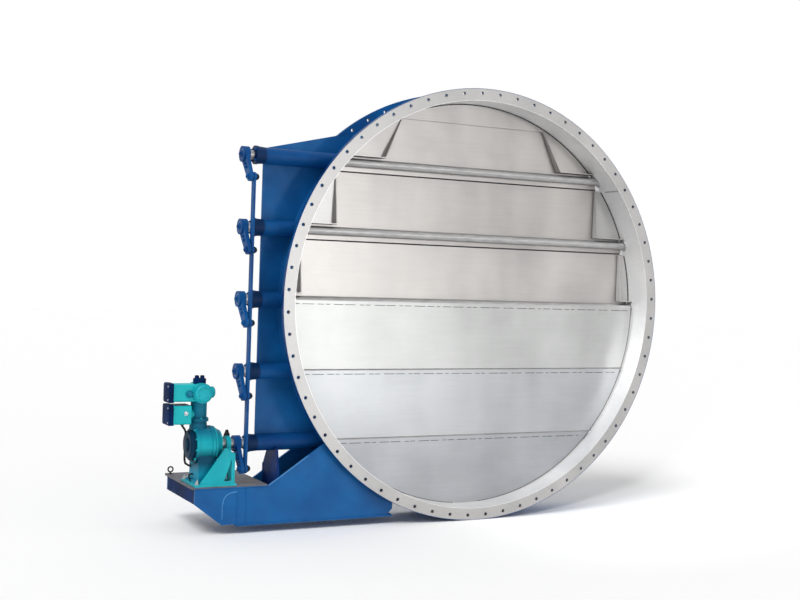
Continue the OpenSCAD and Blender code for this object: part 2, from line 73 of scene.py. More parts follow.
# Duct, which has Y as its axis
SHAFT_AXIS = {i: middle(f"shaft_{i}") for i in SHAFTS}
DRUM_AXIS = SHAFT_AXIS[DRIVEN_SHAFT]
SHAFT_R = (high("shaft_1").z - low("shaft_1").z) / 2
FLANGE_R = high("front_flange").x
FLANGE_T = high("front_flange").y
REAR_FACE = high("rear_flange").y
SHELL_R = 1.442
BORE_R = 1.430
BLADE_R = 1.422
FLOOR_Z = low("front_flange").z

# Depths and edges at which the colour of a surface changes
OUTER_SKIN = 0.002
RIM_SKIN = 0.003
GLAND_EDGE = -1.592
GLAND_BLEND = 0.012

# Beads, nuts and circles
DUCT_BEAD = 0.007
COARSE_BEAD = 0.005
FINE_BEAD = 0.004
WELD_SIDES = 8
WELD_RIPPLE = 0.14
WELD_STEP = 0.012
ARC_STEP_DEG = 0.6
RIPPLE_TURN = 2.4
NUT_SINK = 0.002
WASHER_T = 0.003
WASHER_CHAMFER = 0.0005
SHARP_DEG = 35


# Material nodes

UNIT = (0, 1)
NOISE_SPAN = (0.3, 0.7)
TONE_SPAN = (0.36, 0.64)

# Sockets of a colour mix node
MIX_FACTOR = 0
MIX_FIRST = 6
MIX_SECOND = 7
MIX_RESULT = 2


class Shader:
    """A Principled material under construction."""

    def __init__(self, name):
        self.material = bpy.data.materials.new(name)
        self.material.use_nodes = True
        self.tree = self.material.node_tree
        self.principled = self.tree.nodes["Principled BSDF"]
        self.place = self.add("ShaderNodeTexCoord").outputs["Object"]

    def add(self, kind, **settings):
        node = self.tree.nodes.new(kind)
        for key, value in settings.items():
            setattr(node, key, value)
        return node

    def put(self, node, key, value):
        """Sets a socket, from a value or from another socket."""
        if isinstance(value, bpy.types.NodeSocket):
            self.tree.links.new(value, node.inputs[key])
        else:
            node.inputs[key].default_value = value

    def set(self, key, value):
        self.put(self.principled, key, value)

    def noise(self, scale, detail, stretch=(1, 1, 1), roughness=0.55):
        mapping = self.add("ShaderNodeMapping")
        self.put(mapping, "Scale", stretch)
        self.put(mapping, "Vector", self.place)
        node = self.add("ShaderNodeTexNoise")
        self.put(node, "Vector", mapping.outputs["Vector"])
        self.put(node, "Scale", scale)
        self.put(node, "Detail", detail)
        self.put(node, "Roughness", roughness)
        return node.outputs["Fac"]

    def remap(self, value, source, target):
        """Maps the range source of a value onto the range target."""
        node = self.add("ShaderNodeMapRange")
        self.put(node, "Value", value)
        self.put(node, "From Min", source[0])
        self.put(node, "From Max", source[1])
        self.put(node, "To Min", target[0])
        self.put(node, "To Max", target[1])
        return node.outputs["Result"]

    def mix(self, factor, first, second):
        node = self.add("ShaderNodeMix", data_type="RGBA")
        self.put(node, MIX_FACTOR, factor)
        self.put(node, MIX_FIRST, first)
        self.put(node, MIX_SECOND, second)
        return node.outputs[MIX_RESULT]

    def math(self, operation, first, second=0.0):
        node = self.add("ShaderNodeMath", operation=operation)
        self.put(node, 0, first)
        self.put(node, 1, second)
        return node.outputs[0]

    def bump(self, height, strength, distance):
        node = self.add("ShaderNodeBump")
        self.put(node, "Strength", strength)
        self.put(node, "Distance", distance)
        self.put(node, "Height", height)
        self.set("Normal", node.outputs["Normal"])

    def along(self, axis):
        """Place of the shaded point along X, Y or Z."""
        split = self.add("ShaderNodeSeparateXYZ")
        self.put(split, 0, self.place)
        return split.outputs[axis]

    def duct_radius(self):
        """Distance of the shaded point from the duct's axis."""
        places = (self.along("X"), self.along("Z"))
        squares = [self.math("MULTIPLY", place, place) for place in places]
        return self.math("SQRT", self.math("ADD", *squares))


def rgba(hex_colour):
    """Linear colour of an sRGB hex string."""
    channels = [int(hex_colour[k : k + 2], 16) / 255 for k in (0, 2, 4)]
    linear = [c / 12.92 if c <= 0.04045 else ((c + 0.055) / 1.055) ** 2.4 for c in channels]
    return tuple(linear) + (1.0,)


# Colours
SILVER_PALE = rgba("b0aeac")
SILVER_DULL = rgba("9b9b9b")
# The wall's sheet is the blades' sheet made paler: painted light on the inside of the duct.
WALL_LIT_PALE = rgba("eeeeed")
WALL_LIT_DULL = rgba("d6d6d8")
SHAFT_SILVER = rgba("b3b2b2")
BLUE = rgba("0a63a3")
BLUE_DEEP = rgba("07508c")
BLUE_DARK = rgba("053a72")
BLUE_WORN = rgba("2a78b4")
TEAL = rgba("11b1bc")
TEAL_DEEP = rgba("0b94a2")
TEAL_WORN = rgba("4fc6c6")
TOP_SHADE_TEAL = rgba("0a6a86")
# SHADE is painted shade on the actuator's teal.
SHADE = rgba("04344f")
SHADE_DEEP = rgba("03253a")
NAVY = rgba("042d66")
NAVY_DEEP = rgba("031a3c")
NAVY_WORN = rgba("0e3a70")
GREY = rgba("60646e")
GREY_BROWN = rgba("504d52")
ZINC = rgba("b9bcbf")

# Paint as (full coat, thin coat, rubbed places)
BLUE_COAT = (BLUE, BLUE_DEEP, BLUE_WORN)
# The rim coat is the outside's blue made darker: painted shade on the flange's rim.
RIM_SHADED_COAT = (BLUE_DEEP, NAVY, BLUE)
DEEP_BLUE_COAT = (BLUE_DEEP, BLUE_DARK, BLUE)
# A paler blue for the base's rear plate, which lies in shade: painted light.
LIT_BLUE_COAT = (rgba("1f83cc"), rgba("166ab2"), rgba("4a9ad8"))
PALE_BLUE_COAT = (rgba("5c92c6"), BLUE_WORN, rgba("9cc0e0"))
RIB_COAT = (rgba("06357a"), rgba("04245a"), BLUE_DEEP)
NAVY_COAT = (NAVY, NAVY_DEEP, NAVY_WORN)
TEAL_COAT = (TEAL, TEAL_DEEP, TEAL_WORN)
BOX_COAT = (rgba("17bec3"), rgba("11a9b0"), TEAL_WORN)
# Neck and foot in darker copies of the teal: painted shade under the head and the drum.
NECK_SHADED_COAT = (rgba("0d8098"), rgba("0a6480"), TEAL_DEEP)
FOOT_SHADED_COAT = (rgba("0b8ba8"), rgba("0a7492"), TEAL_DEEP)
SHADE_COAT = (SHADE, SHADE_DEEP, rgba("0b5a70"))
RUBBER_COAT = (rgba("17181b"), rgba("0c0c0e"), rgba("2a2b2e"))
SEAL_COAT = (rgba("4c4b4d"), rgba("3c3b3e"), rgba("646366"))

# Shares of the three noises in the tone of bare sheet
BAND_SHARE = 0.5
CLOUD_SHARE = 0.38
GRAIN_SHARE = 0.12

# Finish of bare sheet and of paint
SHEET_METALLIC = 0.65
WALL_METALLIC = 0.45
BARE_SHEEN = 0.5
DENT_DEPTH = 0.02
SHEET_DENTS = 0.15
WALL_DENTS = 0.12
COAT_ROUGHNESS = (0.40, 0.55)
RUBBER_ROUGHNESS = (0.5, 0.7)
COAT_SHEEN = 0.22
DARKENED = 0.72


def silver_tone(shader):
    """Rolled sheet: broad upright bands and clouds, with a faint grain along the shafts."""
    bands = shader.math("MULTIPLY", shader.noise(1.2, 2, (1.8, 1, 0.3)), BAND_SHARE)
    clouds = shader.math("MULTIPLY", shader.noise(2.4, 4), CLOUD_SHARE)
    grain = shader.math("MULTIPLY", shader.noise(14.0, 5, (0.3, 1, 5)), GRAIN_SHARE)
    return shader.math("ADD", shader.math("ADD", bands, clouds), grain)


def silver_colour(shader, tone, dull=SILVER_DULL, pale=SILVER_PALE):
    return shader.mix(shader.remap(tone, TONE_SPAN, UNIT), dull, pale)


def sheet_finish(shader, tone, roughness, dents):
    shader.set("Roughness", shader.remap(tone, NOISE_SPAN, roughness))
    shader.bump(shader.noise(2.2, 2), dents, DENT_DEPTH)


def silver_material(name, colours=(), metallic=SHEET_METALLIC, roughness=(0.28, 0.34)):
    """Bare sheet; colours are its dull and its pale one."""
    shader = Shader(name)
    tone = silver_tone(shader)
    shader.set("Base Color", silver_colour(shader, tone, *colours))
    shader.set("Metallic", metallic)
    sheet_finish(shader, tone, roughness, SHEET_DENTS)
    return shader.material


def paint_colour(shader, colour, deep, worn):
    """Sprayed paint: uneven coat, darker in patches, pale where it is rubbed."""
    coat = shader.mix(shader.remap(shader.noise(3.5, 5), (0.35, 0.7), UNIT), deep, colour)
    rub = shader.remap(shader.noise(24, 6, (1, 1, 0.5), 0.7), (0.62, 0.78), (0, 0.55))
    return shader.mix(rub, coat, worn)


def paint_material(name, coat, roughness=COAT_ROUGHNESS, sheen=COAT_SHEEN, dark_bands=(), axis="Z"):
    """Paint, darker in bands along an axis, which on the neck, foot and drum are painted shade; a band is
    (start, where it is full, share, colour).
    """
    shader = Shader(name)
    colour = paint_colour(shader, *coat)
    for start, full, share, band_colour in dark_bands:
        cover = shader.remap(shader.along(axis), (start, full), (0, share))
        colour = shader.mix(cover, colour, band_colour)
    shader.set("Base Color", colour)
    shader.set("Roughness", shader.remap(shader.noise(11, 4), NOISE_SPAN, roughness))
    shader.set("Specular IOR Level", sheen)
    shader.bump(shader.noise(140, 3), 0.10, 0.002)
    return shader.material


def part_painted(shader, painted, bare, paint, metallic, sheen):
    """Bare metal, with paint where painted is 1."""
    shader.set("Base Color", shader.mix(painted, bare, paint))
    shader.set("Metallic", shader.math("MULTIPLY", metallic, shader.remap(painted, UNIT, (1, 0))))
    shader.set("Specular IOR Level", shader.remap(painted, UNIT, (BARE_SHEEN, sheen)))


def duct_material(name):
    """Bare sheet inside the duct, blue paint outside; the inside sheet is paler than the blades' sheet, as
    painted light on the wall.
    """
    shader = Shader(name)
    tone = silver_tone(shader)
    silver = silver_colour(shader, tone, WALL_LIT_DULL, WALL_LIT_PALE)
    outside = shader.math("GREATER_THAN", shader.duct_radius(), SHELL_R - OUTER_SKIN)
    paint = paint_colour(shader, *BLUE_COAT)
    part_painted(shader, outside, silver, paint, WALL_METALLIC, COAT_SHEEN)
    sheet_finish(shader, tone, (0.36, 0.48), WALL_DENTS)
    return shader.material


def flange_material(name):
    """Bare metal on the jointing face and in the bore, blue paint on the rim and the back; the rim's blue
    is darker than the shell's as painted shade.
    """
    shader = Shader(name)
    tone = silver_tone(shader)
    radius = shader.duct_radius()
    rim = shader.math("GREATER_THAN", radius, FLANGE_R - RIM_SKIN)
    back = shader.math("GREATER_THAN", shader.along("Y"), FLANGE_T - RIM_SKIN)
    outside = shader.math("GREATER_THAN", radius, SHELL_R)
    painted = shader.math("MAXIMUM", rim, shader.math("MINIMUM", back, outside))
    bore = shader.math("LESS_THAN", radius, BORE_R + OUTER_SKIN)
    # The bore takes the wall's paler sheet: painted light.
    wall = silver_colour(shader, tone, WALL_LIT_DULL, WALL_LIT_PALE)
    bare = shader.mix(bore, silver_colour(shader, tone), wall)
    metallic = shader.remap(bore, UNIT, (SHEET_METALLIC, WALL_METALLIC))
    part_painted(shader, painted, bare, paint_colour(shader, *RIM_SHADED_COAT), metallic, 0.15)
    sheet_finish(shader, tone, (0.30, 0.42), SHEET_DENTS)
    return shader.material


def metal_material(name, colour, roughness=(0.25, 0.42), metallic=0.9):
    """Turned or plated steel with a fine grain."""
    shader = Shader(name)
    grain = shader.noise(60, 4, (0.2, 1, 1))
    dark = tuple(DARKENED * c for c in colour[:3]) + (1.0,)
    shader.set("Base Color", shader.mix(shader.remap(grain, NOISE_SPAN, UNIT), dark, colour))
    shader.set("Metallic", metallic)
    shader.set("Roughness", shader.remap(shader.noise(18, 3), NOISE_SPAN, roughness))
    shader.bump(grain, 0.08, 0.001)
    return shader.material


def plate_material(name):
    """Dusty, partly rusted steel plate."""
    shader = Shader(name)
    patches = shader.remap(shader.noise(9, 6, roughness=0.65), (0.38, 0.62), UNIT)
    shader.set("Base Color", shader.mix(patches, GREY_BROWN, GREY))
    shader.set("Metallic", 0.2)
    shader.set("Roughness", shader.remap(shader.noise(30, 4), NOISE_SPAN, (0.5, 0.75)))
    shader.bump(shader.noise(80, 5), 0.2, 0.002)
    return shader.material


# Darker bands, as (start, where it is full, share, colour); those on the neck, the foot and the drum's top
# and underside are painted shade
GLAND_END_DARKENING = (GLAND_EDGE, GLAND_EDGE - GLAND_BLEND, 0.75, NAVY_DEEP)
NECK_LOW_SHADE = (DRUM_AXIS.z + 0.230, DRUM_AXIS.z + 0.170, 0.40, SHADE)
FOOT_TOP_SHADE = (DRUM_AXIS.z - 0.180, DRUM_AXIS.z - 0.110, 0.85, SHADE)
DRUM_UNDER_SHADE = (DRUM_AXIS.z - 0.010, DRUM_AXIS.z - 0.080, 0.95, SHADE)
DRUM_TOP_SHADE = (DRUM_AXIS.z + 0.030, DRUM_AXIS.z + 0.090, 0.90, TOP_SHADE_TEAL)

SHEET = silver_material("silver_sheet")
STOP_SHEET = silver_material("stop_sheet", metallic=0.25, roughness=(0.40, 0.50))
FLANGE_SILVER = flange_material("flange_silver")
DUCT = duct_material("duct_sheet")
SHAFT_STEEL = metal_material("shaft_steel", SHAFT_SILVER, (0.34, 0.48), 0.8)
BLUE_PAINT = paint_material("blue_paint", BLUE_COAT)
DEEP_BLUE_PAINT = paint_material("deep_blue_paint", DEEP_BLUE_COAT, (0.42, 0.58), 0.15)
# The bearing tubes take the darker blue as painted shade on the round tubes, and get darker still towards
# their outer ends.
TUBE_SHADED_PAINT = paint_material("tube_paint_painted_shade", DEEP_BLUE_COAT, sheen=0.15, dark_bands=[GLAND_END_DARKENING], axis="X")
LIT_BLUE_PAINT = paint_material("rear_plate_painted_light", LIT_BLUE_COAT)
PALE_BLUE_PAINT = paint_material("pale_bead_blue_paint", PALE_BLUE_COAT)
TEAL_PAINT = paint_material("teal_paint", TEAL_COAT)
NAVY_PAINT = paint_material("navy_paint", NAVY_COAT, (0.5, 0.65), 0.06)
SHADE_PAINT = paint_material("painted_shade_teal_paint", SHADE_COAT, sheen=0.08)
RIB_PAINT = paint_material("rib_blue_paint", RIB_COAT, sheen=0.08)
# Neck, foot and drum: darker bands of painted shade.
NECK_PAINT = paint_material("neck_teal_painted_shade", NECK_SHADED_COAT, sheen=0.15, dark_bands=[NECK_LOW_SHADE])
FOOT_PAINT = paint_material("foot_teal_painted_shade", FOOT_SHADED_COAT, sheen=0.12, dark_bands=[FOOT_TOP_SHADE])
DRUM_PAINT = paint_material("drum_teal_paint", TEAL_COAT, sheen=0.18, dark_bands=[DRUM_UNDER_SHADE, DRUM_TOP_SHADE])
BOX_PAINT = paint_material("box_teal_paint", BOX_COAT)
GREY_PLATE = plate_material("grey_plate")
ZINC_STEEL = metal_material("zinc_steel", ZINC)
BLACK_RUBBER = paint_material("black_rubber", RUBBER_COAT, RUBBER_ROUGHNESS)
SEAL = paint_material("grey_seal", SEAL_COAT, RUBBER_ROUGHNESS)

NODE_MATERIALS = {
    "front_flange": FLANGE_SILVER,
    "duct_shell": DUCT,
    "upper_stop_right_2": STOP_SHEET,
    "upper_stop_right_3": STOP_SHEET,
    "tie_rod": DEEP_BLUE_PAINT,
    # Navy on the base's left-facing side plate is painted shade.
    "base_side_plate": NAVY_PAINT,
    "base_cross_rib": RIB_PAINT,
    # The rear plate's paler blue is painted light.
    "base_rear_plate": LIT_BLUE_PAINT,
    "base_top_plate": GREY_PLATE,
    # The drum's end cap in SHADE: painted shade on the drum's left end.
    "drum_end_cap": SHADE_PAINT,
    "gearbox_foot": FOOT_PAINT,
    "gearbox_neck": NECK_PAINT,
    "gearbox_drum": DRUM_PAINT,
    "upper_terminal_box": BOX_PAINT,
    "lower_terminal_box": BOX_PAINT,
}
NODE_MATERIALS.update({f"crank_{i}": DEEP_BLUE_PAINT for i in SHAFTS})
# The tubes' darker blue is painted shade.
NODE_MATERIALS.update({f"bearing_tube_{i}": TUBE_SHADED_PAINT for i in SHAFTS})

# Dull and pale colour of each row of sheet, warm at the top and cool and darker at the bottom: painted
# reflection on the blades
ROW_SILVER_REFLECTIONS = {
    "upper_stop_crown": ("9d9a98", "b2afac"),
    "blade_1": ("9d9a98", "b2afac"),
    "blade_2": ("959290", "aaa6a3"),
    "blade_3_upper": ("999795", "aeaba8"),
    "blade_3_lower": ("9b9c9b", "b0b1b0"),
    "blade_4": ("959799", "aaacae"),
    "blade_5": ("8c8e92", "a0a2a6"),
}
for row_node, row_colours in ROW_SILVER_REFLECTIONS.items():
    NODE_MATERIALS[row_node] = silver_material(f"{row_node}_sheet", [rgba(c) for c in row_colours])

SLOT_MATERIALS = {
    "silver_sheet": SHEET,
    "bright_shaft": SHAFT_STEEL,
    "blue_paint": BLUE_PAINT,
    "teal_paint": TEAL_PAINT,
    "grey_plate": GREY_PLATE,
    "dark_cover": NAVY_PAINT,
}


def dress_nodes():
    """Gives every CAD node its own material, or else the one of its slot."""
    slots = {row["node"]: row["material_slot"] for row in frame["record"]["subparts"]}
    for name, node in frame["nodes"].items():
        node.data.materials.clear()
        node.data.materials.append(NODE_MATERIALS.get(name, SLOT_MATERIALS[slots[name]]))


# Mesh building


def turn_angles(count):
    """Angles that divide a full turn."""
    return [2 * math.pi * k / count for k in range(count)]


def circle_points(count, radius, offset):
    """Pairs on a circle, to place bolts with."""
    for angle in turn_angles(count):
        yield radius * math.cos(offset + angle), radius * math.sin(offset + angle)


def across(axis):
    """An axis and two directions across it, all of length 1."""
    axis = Vector(axis).normalized()
    side = axis.orthogonal().normalized()
    return axis, side, axis.cross(side)


def smooth_path(points, steps=8):
    """Points of a curve through the given ones."""
    points = [points[0]] + points + [points[-1]]
    path = []
    for a, b, c, d in zip(points, points[1:], points[2:], points[3:]):
        for k in range(steps):
            t = k / steps
            square = (2 * a - 5 * b + 4 * c - d) * t**2
            cube = (3 * b - a - 3 * c + d) * t**3
            path.append(0.5 * (2 * b + (c - a) * t + square + cube))
    path.append(points[-1])
    return path


class Mesh:
    """Collects shapes into one piece."""

    def __init__(self, name):
        self.name = name
        self.bm = bmesh.new()

    def circle(self, centre, radius, side, other, segments):
        """Vertices round a centre, across the directions side and other."""
        ring = []
        for angle in turn_angles(segments):
            out = math.cos(angle) * side + math.sin(angle) * other
            ring.append(self.bm.verts.new(centre + radius * out))
        return ring

    def bridge(self, first, second):
        """Faces between two loops of vertices."""
        count = len(first)
        for k in range(count):
            after = (k + 1) % count
            self.bm.faces.new((first[k], first[after], second[after], second[k]))

    def loft(self, rings):
        """A closed skin over rings of vertices."""
        for first, second in zip(rings, rings[1:]):
            self.bridge(first, second)
        self.bm.faces.new(list(reversed(rings[0])))
        self.bm.faces.new(rings[-1])

    def lathe(self, profile, start, axis, segments):
        """Revolves (distance along axis, radius) points about an axis through start."""
        axis, side, other = across(axis)
        rings = []
        for along, radius in profile:
            rings.append(self.circle(Vector(start) + axis * along, radius, side, other, segments))
        self.loft(rings)

    def ring(self, profile, start, axis, segments=64):
        """Revolves a closed profile, as a collar with an open middle."""
        axis, side, other = across(axis)
        loops = []
        for angle in turn_angles(segments):
            out = math.cos(angle) * side + math.sin(angle) * other
            places = [Vector(start) + axis * along + out * radius for along, radius in profile]
            loops.append([self.bm.verts.new(place) for place in places])
        for k in range(segments):
            self.bridge(loops[k], loops[(k + 1) % segments])

    def tube(self, points, radius, segments, ripple=0.0):
        """A round bead along points, with a ripple in its thickness like a weld's."""
        points = [Vector(p) for p in points]
        side = None
        rings = []
        for k, point in enumerate(points):
            ahead = points[min(k + 1, len(points) - 1)]
            behind = points[max(k - 1, 0)]
            along = (ahead - behind).normalized()
            if side is None:
                side = along.orthogonal().normalized()
            else:
                side = (side - along * side.dot(along)).normalized()
            size = radius * (1 + ripple * math.sin(RIPPLE_TURN * k))
            rings.append(self.circle(point, size, side, along.cross(side), segments))
        self.loft(rings)

    def weld(self, start, end, bead):
        """Straight weld bead."""
        start, end = Vector(start), Vector(end)
        count = max(2, int((end - start).length / WELD_STEP))
        points = [start.lerp(end, k / count) for k in range(count + 1)]
        self.tube(points, bead, WELD_SIDES, WELD_RIPPLE)

    def arc_weld(self, radius, y, first, last, bead):
        """Weld bead round the duct's axis, angles in degrees from +X to +Z."""
        count = max(3, int(abs(last - first) / ARC_STEP_DEG))
        points = []
        for k in range(count + 1):
            angle = math.radians(first + (last - first) * k / count)
            points.append((radius * math.cos(angle), y, radius * math.sin(angle)))
        self.tube(points, bead, WELD_SIDES, WELD_RIPPLE)

    def box(self, centre, size, bevel=0.0):
        made = bmesh.ops.create_cube(self.bm, size=1.0)["verts"]
        bmesh.ops.scale(self.bm, vec=Vector(size), verts=made)
        bmesh.ops.translate(self.bm, vec=Vector(centre), verts=made)
        if bevel:
            edges = list({edge for vert in made for edge in vert.link_edges})
            bmesh.ops.bevel(self.bm, geom=edges, offset=bevel, segments=2, affect="EDGES", profile=0.5)

    def cover(self, centre, size, corner, edge):
        """A lid across X with round corners; its -X rim is rounded off by edge."""
        half_x, half_y, half_z = (value / 2 for value in size)
        nearly = 0.3 * edge
        sections = ((half_x, 0.0), (edge - half_x, 0.0), (nearly - half_x, nearly), (-half_x, edge))
        quarters = ((1, 1), (-1, 1), (-1, -1), (1, -1))
        steps = 6
        rings = []
        for x, inset in sections:
            ring = []
            radius = corner - inset
            for quarter, (side_y, side_z) in enumerate(quarters):
                for k in range(steps + 1):
                    angle = math.pi / 2 * (quarter + k / steps)
                    y = side_y * (half_y - corner) + radius * math.cos(angle)
                    z = side_z * (half_z - corner) + radius * math.sin(angle)
                    ring.append(self.bm.verts.new(Vector(centre) + Vector((x, y, z))))
            rings.append(ring)
        self.loft(rings)

    def nut(self, place, axis, across_flats, height, stud):
        """Washer, hexagon nut with a chamfer and the end of its stud."""
        r = across_flats / 2
        end = height + stud
        washer = [(-NUT_SINK, 1.25 * r), (WASHER_T, 1.25 * r), (WASHER_T + WASHER_CHAMFER, 1.2 * r)]
        self.lathe(washer, place, axis, 20)
        self.lathe([(WASHER_T, r), (height * 0.85, r), (height, r * 0.84)], place, axis, 6)
        self.lathe([(WASHER_T, r * 0.5), (height + stud * 0.8, r * 0.5), (end, r * 0.4)], place, axis, 12)

    def done(self, body, material):
        """Makes the piece, which rides on a body."""
        bmesh.ops.recalc_face_normals(self.bm, faces=self.bm.faces)
        data = bpy.data.meshes.new(self.name)
        self.bm.to_mesh(data)
        self.bm.free()
        data.shade_smooth()
        data.set_sharp_from_angle(angle=math.radians(SHARP_DEG))
        piece = bpy.data.objects.new(self.name, data)
        bpy.context.scene.collection.objects.link(piece)
        data.materials.append(material)
        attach(piece, body)


# Duct

TUBE_WELD_RISE = 0.020

# Stop plates, with the inner end of each one's shelf
CROWN = "upper_stop_crown"
SHELF_INNER = {
    CROWN: 0.728,
    "upper_stop_left_2": 1.075,
    "upper_stop_right_2": 1.075,
    "upper_stop_left_3": 1.318,
    "upper_stop_right_3": 1.318,
}
STOP_T = 0.010
STOP_BEAD_IN = 0.003
# Dark strips under the shelves, painted shade
SHELF_SHADE_T = 0.003
SHELF_SHADE_W = 0.046
SHELF_WALL_GAP = 0.006
CENTRED = 0.05

# Beads on the inside of the wall
WALL_RING_R = 0.037
WALL_RING_BEAD = 0.0035
WALL_RING_RIPPLE = 0.1
WALL_RING_STEPS = 40
WALL_SEAM_DEG = 37.5
WALL_SEAM_IN = 0.001
WALL_SEAM_START = 0.002
WALL_SEAM_END = 0.165

# Strips behind the blade tips
SEAL_UP = 0.016
SEAL_DOWN = 0.010
SEAL_END = 0.015
SEAL_T = 0.003
SEAL_BACK = 0.002

# Lines on the hanging blades
EDGE_BEAD = 0.0022
EDGE_SIDES = 6
EDGE_STEPS = 60
EDGE_END = 0.004
STITCH_DROP = 0.026
STITCH_END = 0.03
STITCH_SHORTEST = 0.05
STITCH_LENGTH = 0.055
STITCH_VARIES = 0.030
STITCH_TURN = 1.7
STITCH_GAP = 0.022
GAP_VARIES = 0.012
GAP_TURN = 2.9


def half_width(radius, z):
    """Half the width, at a height, of a circle round the duct's axis."""
    return math.sqrt(max(0.0, radius**2 - z**2))


def rise_deg(radius, z):
    """Angle from +X at which a circle round the duct's axis reaches a height."""
    return math.degrees(math.asin(z / radius))


def duct_details():
    """Welds of the flanges, the wing plate and the bearing tubes."""
    wing = "wing_plate"
    welds = Mesh("duct_welds")
    for y in (FLANGE_T, REAR_FACE - FLANGE_T):
        welds.arc_weld(SHELL_R, y, 0, 360, DUCT_BEAD)
    first = 180 - rise_deg(SHELL_R, high(wing).z)
    last = 180 - rise_deg(SHELL_R, low(wing).z)
    for y in (low(wing).y, high(wing).y):
        welds.arc_weld(SHELL_R, y, first, last, DUCT_BEAD)
    for i in SHAFTS:
        for side in SIDES:
            z = SHAFT_AXIS[i].z + side * TUBE_WELD_RISE
            start = (low(wing).x, low(wing).y, z)
            end = (-half_width(SHELL_R, z), low(wing).y, z)
            welds.weld(start, end, COARSE_BEAD)
    welds.done(BODY, BLUE_PAINT)


def stop_details():
    """Seals between the stop plates and the wall, and dark strips under the plates' shelves as painted
    shade.
    """
    seal_and_shade = Mesh("wall_seal_and_shelf_shade")
    for node, inner in SHELF_INNER.items():
        front = high(node).y - STOP_T
        first = rise_deg(BORE_R, low(node).z)
        last = 180 - first if node == CROWN else rise_deg(BORE_R, high(node).z)
        if high(node).x < 0:
            first, last = 180 - last, 180 - first
        seal_and_shade.arc_weld(BORE_R - STOP_BEAD_IN, front, first, last, COARSE_BEAD)
        # A dark strip under the shelf: painted shade.
        under = low(node).z - SHELF_SHADE_T / 2
        wall = half_width(BORE_R, low(node).z) - SHELF_WALL_GAP
        for side in SIDES:
            if side * middle(node).x >= -CENTRED:
                centre = (side * (inner + wall) / 2, low(node).y + SHELF_SHADE_W / 2, under)
                seal_and_shade.box(centre, (wall - inner, SHELF_SHADE_W, SHELF_SHADE_T))
    seal_and_shade.done(BODY, SEAL)


def wall_details():
    """Beads where the shafts pass the wall, and the wall's seam."""
    beads = Mesh("inside_welds")
    for i in SHAFTS:
        for side in SIDES:
            points = list(wall_ring(SHAFT_AXIS[i], side))
            beads.tube(points, WALL_RING_BEAD, WELD_SIDES, WALL_RING_RIPPLE)
    seam = math.radians(WALL_SEAM_DEG)
    out = Vector((math.cos(seam), 0, math.sin(seam))) * (BORE_R - WALL_SEAM_IN)
    beads.weld(out + Y_AXIS * WALL_SEAM_START, out + Y_AXIS * WALL_SEAM_END, FINE_BEAD)
    beads.done(BODY, SHEET)


def wall_ring(centre, side):
    """Points where a tube round a shaft meets the inside of the duct wall."""
    for k in range(WALL_RING_STEPS + 1):
        angle = 2 * math.pi * k / WALL_RING_STEPS
        z = centre.z + WALL_RING_R * math.sin(angle)
        yield Vector((side * half_width(BORE_R, z), centre.y + WALL_RING_R * math.cos(angle), z))


def blade_seals():
    """Strips on the backs of two blade tips that close the slit behind the lip above."""
    for i, node in ((2, "blade_2"), (3, "blade_3_upper")):
        tip = high(node).z
        half = half_width(BORE_R, tip + SEAL_UP) - SEAL_END
        strip = Mesh(f"{node}_seal")
        strip.box(
            (0, high(node).y + SEAL_BACK, tip + (SEAL_UP - SEAL_DOWN) / 2),
            (2 * half, SEAL_T, SEAL_UP + SEAL_DOWN),
        )
        strip.done(f"blade_set_{i}", SEAL)


def blade_lines():
    """Edge seals and stitch welds on the fronts of the hanging blades."""
    for i, node in ((3, "blade_3_lower"), (4, "blade_4"), (5, "blade_5")):
        front = low(node).y
        bottom, top = low(node).z, high(node).z
        lines = Mesh(f"{node}_lines")
        height = top - bottom - 2 * EDGE_END
        rows = [bottom + EDGE_END + height * k / EDGE_STEPS for k in range(EDGE_STEPS + 1)]
        for side in SIDES:
            lines.tube([(side * blade_reach(node, z), front, z) for z in rows], EDGE_BEAD, EDGE_SIDES)
        z = top - STITCH_DROP
        end = blade_reach(node, z) - STITCH_END
        x = -end
        count = 0
        while x < end - STITCH_SHORTEST:
            length = STITCH_LENGTH + STITCH_VARIES * math.sin(STITCH_TURN * count)
            lines.tube([(x, front, z), (x + length, front, z)], EDGE_BEAD, EDGE_SIDES)
            x += length + STITCH_GAP + GAP_VARIES * math.sin(GAP_TURN * count)
            count += 1
        lines.done(f"blade_set_{i}", SEAL)


def blade_reach(node, z):
    """Half width of a blade at a height, a little inside its edge."""
    return min(high(node).x, half_width(BLADE_R, z)) - 2 * EDGE_BEAD


# Bearings and linkage; a nut is (across flats, height, stud)

CRANK_STEP = 0.011
EYE_R = 0.031
SHAFT_CAP = [(-0.002, 0.027), (0.004, 0.027), (0.006, 0.024)]
SHAFT_CAP_T = 0.005
SHAFT_NUT = (0.024, 0.012, 0.0)
PIN_NUT = (0.036, 0.014, 0.005)
LOCK_NUT = (0.036, 0.014, 0.004)
ARM_NUT = (0.018, 0.008, 0.003)
ARM_NUT_SHARES = (0.42, 0.58)
ROD_BUSH = [(0.001, 0.0145), (0.001, 0.022), (-0.0025, 0.021), (-0.0025, 0.0145)]
GLAND_NUT = (0.018, 0.010, 0.004)
GLAND_NUT_IN = 0.014
GLAND_RING_OUT = 0.008


